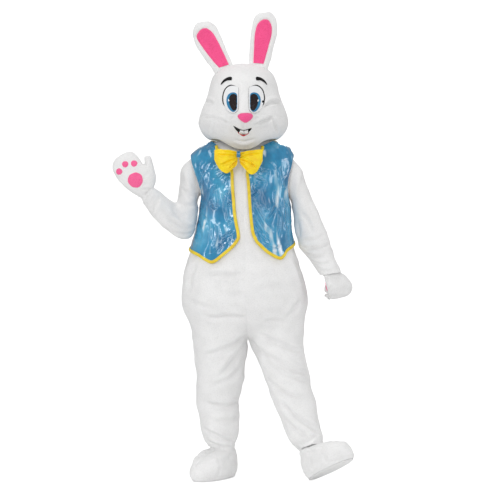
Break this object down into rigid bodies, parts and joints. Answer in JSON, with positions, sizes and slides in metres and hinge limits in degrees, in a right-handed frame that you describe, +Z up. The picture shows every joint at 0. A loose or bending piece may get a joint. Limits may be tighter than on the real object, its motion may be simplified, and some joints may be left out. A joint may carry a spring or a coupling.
{
  "type": "rabbit costume",
  "caption": "Rabbit costume set as worn: mask head with ears, plush jumpsuit, mittens with pads, shoe covers, shiny vest and bow tie.",
  "frame": {"origin": "middle of the suit's neck, level with the tops of the shoulders, where the wearer's shoulders carry the costume", "axes": "+Z up, +X towards the wearer's left, -Y the way the wearer faces"},
  "size_m": [1.03, 0.518, 2.0292],
  "materials": {
    "plush": "short-pile off-white plush, matte with a soft nap",
    "plush_print": "smooth white cloth patch",
    "pink_plush": "short pink plush",
    "vinyl": "glossy thin blue vinyl-faced cloth with creases",
    "satin": "yellow satin, soft sheen",
    "blue_felt": "blue printed cloth, slight sheen",
    "black_felt": "black cloth, matte",
    "red_felt": "red cloth, matte",
    "nose_pink": "pink padded cloth"
  },
  "bodies": {
    "root": {"back_placket": "plush", "binding_back_hem": "satin", "binding_back_neck": "satin", "binding_left": "satin", "binding_right": "satin", "bow_knot": "vinyl", "bow_left": "satin", "bow_right": "satin", "brow_left": "black_felt", "brow_right": "black_felt", "ear_left": "plush", "ear_left_pink": "pink_plush", "ear_right": "plush", "ear_right_pink": "pink_plush", "eye_left": "plush_print", "eye_right": "plush_print", "iris_left": "blue_felt", "iris_right": "blue_felt", "lip": "red_felt", "mask_back": "plush", "mask_crown_left": "plush", "mask_crown_right": "plush", "mask_jaw": "plush", "mitten_left_back": "plush", "mitten_left_palm": "plush", "mitten_right_back": "plush", "mitten_right_palm": "plush", "mouth": "black_felt", "nose": "nose_pink", "pad_left_1": "pink_plush", "pad_left_2": "pink_plush", "pad_left_3": "pink_plush", "pad_left_palm": "pink_plush", "pad_right_1": "pink_plush", "pad_right_2": "pink_plush", "pad_right_3": "pink_plush", "pad_right_palm": "pink_plush", "pupil_left": "black_felt", "pupil_right": "black_felt", "shoe_left_sole": "plush", "shoe_left_upper": "plush", "shoe_right_sole": "plush", "shoe_right_upper": "plush", "sleeve_left": "plush", "sleeve_right": "plush", "suit_back_left": "plush", "suit_back_right": "plush", "suit_front_left": "plush", "suit_front_right": "plush", "teeth": "plush_print", "vest_back": "vinyl", "vest_left": "vinyl", "vest_right": "vinyl"}
  },
  "joints": []
}
